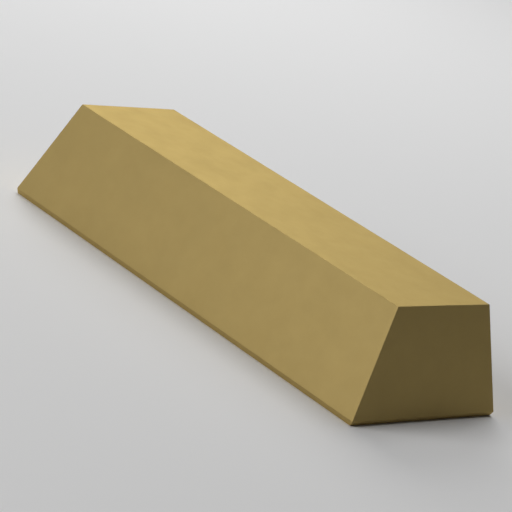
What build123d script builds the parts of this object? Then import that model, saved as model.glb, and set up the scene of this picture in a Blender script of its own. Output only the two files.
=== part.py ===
from build123d import *
import os

# A cast metal ingot: one solid bar, as it lies on its widest side.
# X runs along the bar, Y across it and Z up, and the origin is the middle of the underside.
# The outline is widest at the rim, where the mould's mouth was. Above the rim all four sides
# draw in by the mould's draft, up to the flat crown that the mould's floor made. Below it a
# low lip turns in to the flat underside, which is the face that was open when the metal set.

# Driving dimensions, in millimetres
rim_length = 215.6  # at the widest outline
rim_width = 81.8
crown_length = 198.0  # at the top face
crown_width = 53.0
height = 45.0  # underside to crown
lip_height = 2.1  # underside to rim
lip_inset_end = 0.9  # how far each end of the underside lies inside the rim
lip_inset_side = 0.4
edge_radius = 0.4  # on every edge
slab_overrun = 5.0  # how far each slab runs past the bar


def drafted_slab(plane, rim, crown, lip_inset, span):
    # The bar's outline as seen along one axis, extruded along that axis past the whole bar.
    foot = rim - 2 * lip_inset
    outline = Polyline(
        (-foot / 2, 0),
        (-rim / 2, lip_height),
        (-crown / 2, height),
        (crown / 2, height),
        (rim / 2, lip_height),
        (foot / 2, 0),
        close=True,
    )
    return extrude(plane * make_face(outline), span / 2 + slab_overrun, both=True)


# What the side view's slab and the end view's slab share has draft and a lip on all four sides.
side_slab = drafted_slab(Plane.XZ, rim_length, crown_length, lip_inset_end, rim_width)
end_slab = drafted_slab(Plane.YZ, rim_width, crown_width, lip_inset_side, rim_length)
sharp_ingot = side_slab & end_slab
ingot = fillet(sharp_ingot.edges(), edge_radius)

os.makedirs("parts", exist_ok=True)
export_step(ingot, "parts/ingot.step")
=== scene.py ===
import math
import bmesh
import bpy
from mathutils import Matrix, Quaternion, Vector


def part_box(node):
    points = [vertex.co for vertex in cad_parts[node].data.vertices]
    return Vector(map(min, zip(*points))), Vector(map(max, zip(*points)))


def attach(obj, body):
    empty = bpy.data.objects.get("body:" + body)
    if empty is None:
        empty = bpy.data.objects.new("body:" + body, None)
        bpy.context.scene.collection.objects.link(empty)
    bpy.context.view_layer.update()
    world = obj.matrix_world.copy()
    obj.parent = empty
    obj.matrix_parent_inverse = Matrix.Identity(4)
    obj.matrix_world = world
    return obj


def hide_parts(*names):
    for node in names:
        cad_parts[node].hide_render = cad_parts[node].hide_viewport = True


# A cast gold bar on a pale floor. Sizes are in metres, with X along the bar and Z up.
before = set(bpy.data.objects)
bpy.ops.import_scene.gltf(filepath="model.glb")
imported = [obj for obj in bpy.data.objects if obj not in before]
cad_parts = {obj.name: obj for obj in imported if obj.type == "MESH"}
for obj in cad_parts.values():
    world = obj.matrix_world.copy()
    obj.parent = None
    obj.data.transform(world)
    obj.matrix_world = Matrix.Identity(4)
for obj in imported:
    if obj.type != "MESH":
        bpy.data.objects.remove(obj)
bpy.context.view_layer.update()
barLow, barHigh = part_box("ingot")
scene = bpy.context.scene
scene.view_settings.view_transform = "Standard"
print("frame loaded, the bar measures", [round(side, 4) for side in barHigh - barLow])


class Value:  # a shader socket that takes arithmetic
    def __init__(self, finish, socket):
        self.finish = finish
        self.socket = socket

    def __add__(self, other):
        return self.finish.maths("ADD", self, other)

    def __radd__(self, other):
        return self.finish.maths("ADD", other, self)

    def __sub__(self, other):
        return self.finish.maths("SUBTRACT", self, other)

    def __rsub__(self, other):
        return self.finish.maths("SUBTRACT", other, self)

    def __mul__(self, other):
        return self.finish.maths("MULTIPLY", self, other)

    def __rmul__(self, other):
        return self.finish.maths("MULTIPLY", other, self)


class Finish:  # one material and its nodes
    def __init__(self, name):
        self.material = bpy.data.materials.new(name)
        self.material.use_nodes = True
        self.tree = self.material.node_tree
        self.tree.nodes.clear()

    def node(self, kind, settings, sockets, output=0):
        made = self.tree.nodes.new(kind)
        for name, setting in settings.items():
            setattr(made, name, setting)
        for name, value in sockets.items():
            if isinstance(value, Value):
                self.tree.links.new(value.socket, made.inputs[name])
            else:
                made.inputs[name].default_value = value
        return Value(self, made.outputs[output]) if made.outputs else None

    def maths(self, operation, first, second):
        return self.node("ShaderNodeMath", {"operation": operation}, {0: first, 1: second})

    def noise(self, place, size, detail=2, roughness=0.5):  # size is that of one patch
        look = {"Vector": place, "Scale": 1 / size, "Detail": detail, "Roughness": roughness}
        return self.node("ShaderNodeTexNoise", {}, look)

    def spread(self, source, low, high):  # 0 at low and 1 at high, and no further
        limits = {"Value": source, "From Min": low, "From Max": high}
        return self.node("ShaderNodeMapRange", {}, limits)

    def blend(self, mask, first, second):  # sockets 6 and 7 are the mix node's two colours
        colours = {0: mask, 6: first, 7: second}
        return self.node("ShaderNodeMix", {"data_type": "RGBA"}, colours, output=2)

    def surface(self, sockets):
        shader = self.node("ShaderNodeBsdfPrincipled", {}, sockets)
        self.node("ShaderNodeOutputMaterial", {}, {"Surface": shader})
        return self.material


# The bar: a grid over the widest outline, the lip under it and the drafted sides above it,
# then rounded edges, and then the faint swell and ripple that the mould leaves. Both go inward.
bar = {
    "crownLength": 0.198,
    "crownWidth": 0.053,
    "lipHeight": 0.0021,
    "lipInsetEnd": 0.0009,
    "lipInsetSide": 0.0004,
    "gridStep": 0.0012,
    "sharpFold": 8,  # degrees; an edge that folds by more is rounded
    "edgeRound": 0.00028,  # from a sharp edge to where its rounding starts
    "rimRound": 0.00016,  # the same on the rim and the foot
    "roundSteps": 3,
    "relief": {
        "swell": {"size": 0.016, "depth": 0.00006, "octaves": 0},
        "ripple": {"size": 0.004, "depth": 0.000008, "octaves": 2},
    },
}


def outlines(spec, low, high):  # height and half sizes of each level, from the underside up
    halfLength = high.x
    halfWidth = high.y
    insetLong = spec["lipInsetEnd"]
    insetWide = spec["lipInsetSide"]
    yield low.z, halfLength - insetLong, halfWidth - insetWide
    yield (low.z + spec["lipHeight"]) / 2, halfLength - insetLong / 2, halfWidth - insetWide / 2
    rise = high.z - spec["lipHeight"]
    rows = round(rise / spec["gridStep"])
    for row in range(rows + 1):
        up = row / rows
        along = halfLength + (spec["crownLength"] / 2 - halfLength) * up
        across = halfWidth + (spec["crownWidth"] / 2 - halfWidth) * up
        yield spec["lipHeight"] + rise * up, along, across


def barGrid(spec, low, high):
    levels = list(outlines(spec, low, high))
    along = round((high.x - low.x) / spec["gridStep"])
    across = round((high.y - low.y) / spec["gridStep"])
    top = len(levels) - 1
    grid = bmesh.new()
    points = {}
    for k, (height, halfLength, halfWidth) in enumerate(levels):
        for i in range(along + 1):
            for j in range(across + 1):
                if i in (0, along) or j in (0, across) or k in (0, top):
                    x = halfLength * (2 * i / along - 1)
                    y = halfWidth * (2 * j / across - 1)
                    points[i, j, k] = grid.verts.new((x, y, height))

    def patch(first, second, corner):  # quads over one side, with corner giving a point of it
        for a in range(first):
            for b in range(second):
                ring = [corner(a, b), corner(a + 1, b), corner(a + 1, b + 1), corner(a, b + 1)]
                grid.faces.new([points[place] for place in ring])

    patch(along, across, lambda a, b: (a, b, top))
    patch(across, along, lambda a, b: (b, a, 0))
    patch(along, top, lambda a, b: (a, 0, b))
    patch(top, along, lambda a, b: (b, across, a))
    patch(top, across, lambda a, b: (0, b, a))
    patch(across, top, lambda a, b: (along, a, b))
    return grid


def markEdges(grid, spec):  # 1 on the crown and the corners, and less on the rim and foot
    grid.normal_update()
    weight = grid.edges.layers.float.new("bevel_weight_edge")
    overRim = spec["lipHeight"] + spec["gridStep"] / 2
    for edge in grid.edges:
        if edge.calc_face_angle() > math.radians(spec["sharpFold"]):
            onRim = max(end.co.z for end in edge.verts) < overRim
            edge[weight] = spec["rimRound"] / spec["edgeRound"] if onRim else 1


def softNoise(name, wave):
    texture = bpy.data.textures.new(name, "CLOUDS")
    texture.noise_scale = wave["size"]
    texture.noise_depth = wave["octaves"]
    return texture


def castBar(spec, low, high, material):
    grid = barGrid(spec, low, high)
    markEdges(grid, spec)
    mesh = bpy.data.meshes.new("castBar")
    grid.to_mesh(mesh)
    grid.free()
    mesh.shade_smooth()
    mesh.materials.append(material)
    made = bpy.data.objects.new("castBar", mesh)
    scene.collection.objects.link(made)
    rounding = made.modifiers.new("rounding", "BEVEL")
    rounding.limit_method = "WEIGHT"
    rounding.width = spec["edgeRound"]
    rounding.segments = spec["roundSteps"]
    rounding.face_strength_mode = "FSTR_AFFECTED"
    for name, wave in spec["relief"].items():
        relief = made.modifiers.new(name, "DISPLACE")
        relief.texture = softNoise(name, wave)
        relief.strength = wave["depth"]
        relief.mid_level = 1  # so that the relief only goes inward
    flatFaces = made.modifiers.new("flatFaces", "WEIGHTED_NORMAL")
    flatFaces.use_face_influence = True  # so that the flats shade flat up to their rounded edges
    return made


# Cast gold: satin, with faint clouds in its colour and its sheen, and a fine grain.
gold = {
    "pale": (0.553, 0.423, 0.174, 1),
    "deep": (0.527, 0.403, 0.166, 1),
    "grazingTint": (1.0, 0.88, 0.60, 1),  # keeps the colour of light that only skims the metal
    "cloud": {"size": 0.011},
    "drift": {"size": 0.0385, "detail": 4},  # wide clouds under the small ones
    "cloudEnds": (0.3, 0.7),  # noise values of the deepest and the palest gold
    "cloudShare": 0.6,  # of the colour, and the drift has the rest
    "mottle": {"size": 0.007, "detail": 3, "roughness": 0.6},
    "mottleEnds": (0.25, 0.75),
    "grain": {"size": 0.0011, "detail": 3, "roughness": 0.6},
    "grainHeight": 0.000012,
    "roughness": 0.65,
    "sheenShares": (0.6, 0.25, 0.15),  # of the mottle, the drift and the grain
    "sheenSwing": 0.07,  # in roughness, between the most and the least satin patches
    "crownSwing": 0.08,  # added on the crown, which the mould's floor left cloudier
    "crownStart": 0.0438,  # heights between which that comes in
    "crownFull": 0.0448,
}


def castGold(spec):
    finish = Finish("castGold")
    place = finish.node("ShaderNodeTexCoord", {}, {}, output=3)  # the bar's own coordinates
    cloud = finish.spread(finish.noise(place, **spec["cloud"]), *spec["cloudEnds"])
    drift = finish.spread(finish.noise(place, **spec["drift"]), *spec["cloudEnds"])
    mottle = finish.spread(finish.noise(place, **spec["mottle"]), *spec["mottleEnds"])
    grain = finish.noise(place, **spec["grain"])
    relief = {"Height": grain, "Distance": spec["grainHeight"], "Strength": 1}
    bump = finish.node("ShaderNodeBump", {}, relief)
    share = spec["cloudShare"]
    colour = finish.blend(share * cloud + (1 - share) * drift, spec["deep"], spec["pale"])
    mottleShare, driftShare, grainShare = spec["sheenShares"]
    sheen = mottleShare * mottle + driftShare * drift + grainShare * grain
    height = finish.node("ShaderNodeSeparateXYZ", {}, {0: place}, output=2)
    crown = finish.spread(height, spec["crownStart"], spec["crownFull"])
    swing = spec["sheenSwing"] + spec["crownSwing"] * crown
    roughness = spec["roughness"] + swing * (sheen - 0.5)  # the sheen runs from 0 to 1
    return finish.surface({
        "Base Color": colour,
        "Metallic": 1,
        "Specular Tint": spec["grazingTint"],
        "Roughness": roughness,
        "Normal": bump,
    })


goldBar = castBar(bar, barLow, barHigh, castGold(gold))
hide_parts("ingot")
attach(goldBar, "root")
print("bar built,", len(goldBar.data.polygons), "grid faces")

# The floor, the lamps and the camera
studio = {
    "floorSize": 12,
    "floorColour": (0.9, 0.9, 0.9, 1),
    "floorRoughness": 0.9,
    "floorGloss": 0.2,
    "worldColour": (0.03, 0.03, 0.03, 1),
    "lampAim": (0, 0, 0.02),
    "camera": (0.6316, -0.6934, 0.3137),
    "cameraAim": (-0.0039, 0.0029, 0.018),
    "roll": 18.03,  # degrees, with the bar's near end turned down
    "lens": 169.1,  # millimetres, and so is the sensor's width
    "sensor": 36,
}

# Round is in degrees from the front, anticlockwise as seen from above; up is above the floor.
lamps = {
    "frontPanel": {"round": -15, "up": 30, "away": 1.8, "size": 1.0, "watts": 13.84},
    "leftPanel": {"round": -120, "up": 38, "away": 1.2, "size": 0.72, "watts": 4.2},
    "backPanel": {"round": -150, "up": 65, "away": 1.8, "size": 1.0, "watts": 9.9},
}


def layFloor(spec, height):
    finish = Finish("floorPaper")
    material = finish.surface({
        "Base Color": spec["floorColour"],
        "Roughness": spec["floorRoughness"],
        "Specular IOR Level": spec["floorGloss"],
    })
    half = spec["floorSize"] / 2
    corners = [(x * half, y * half, height) for x, y in ((-1, -1), (1, -1), (1, 1), (-1, 1))]
    mesh = bpy.data.meshes.new("floor")
    mesh.from_pydata(corners, [], [(0, 1, 2, 3)])
    mesh.materials.append(material)
    made = bpy.data.objects.new("floor", mesh)
    scene.collection.objects.link(made)


def hangLamp(name, spec, aim):
    light = bpy.data.lights.new(name, "AREA")
    light.shape = "DISK"
    light.size = spec["size"]
    light.energy = spec["watts"]
    turn = math.radians(spec["round"])
    lift = math.radians(spec["up"])
    level = math.cos(lift)
    outward = Vector((math.sin(turn) * level, -math.cos(turn) * level, math.sin(lift)))
    made = bpy.data.objects.new(name, light)
    made.location = Vector(aim) + spec["away"] * outward
    made.rotation_mode = "QUATERNION"
    made.rotation_quaternion = (-outward).to_track_quat("-Z", "Y")
    made.visible_camera = False  # a low view would otherwise have a lamp in it
    scene.collection.objects.link(made)


def fillWorld(spec):
    world = bpy.data.worlds.new("studio")
    world.use_nodes = True
    world.node_tree.nodes["Background"].inputs["Color"].default_value = spec["worldColour"]
    scene.world = world


def setCamera(spec):
    lens = bpy.data.cameras.new("camera")
    lens.lens = spec["lens"]
    lens.sensor_width = spec["sensor"]
    made = bpy.data.objects.new("camera", lens)
    made.location = spec["camera"]
    made.rotation_mode = "QUATERNION"
    facing = (Vector(spec["cameraAim"]) - made.location).to_track_quat("-Z", "Y")
    made.rotation_quaternion = facing @ Quaternion((0, 0, 1), math.radians(spec["roll"]))
    scene.collection.objects.link(made)
    scene.camera = made


layFloor(studio, barLow.z)
for lampName, lampSpec in lamps.items():
    hangLamp(lampName, lampSpec, studio["lampAim"])
fillWorld(studio)
setCamera(studio)
print("studio set,", len(lamps), "lamps")
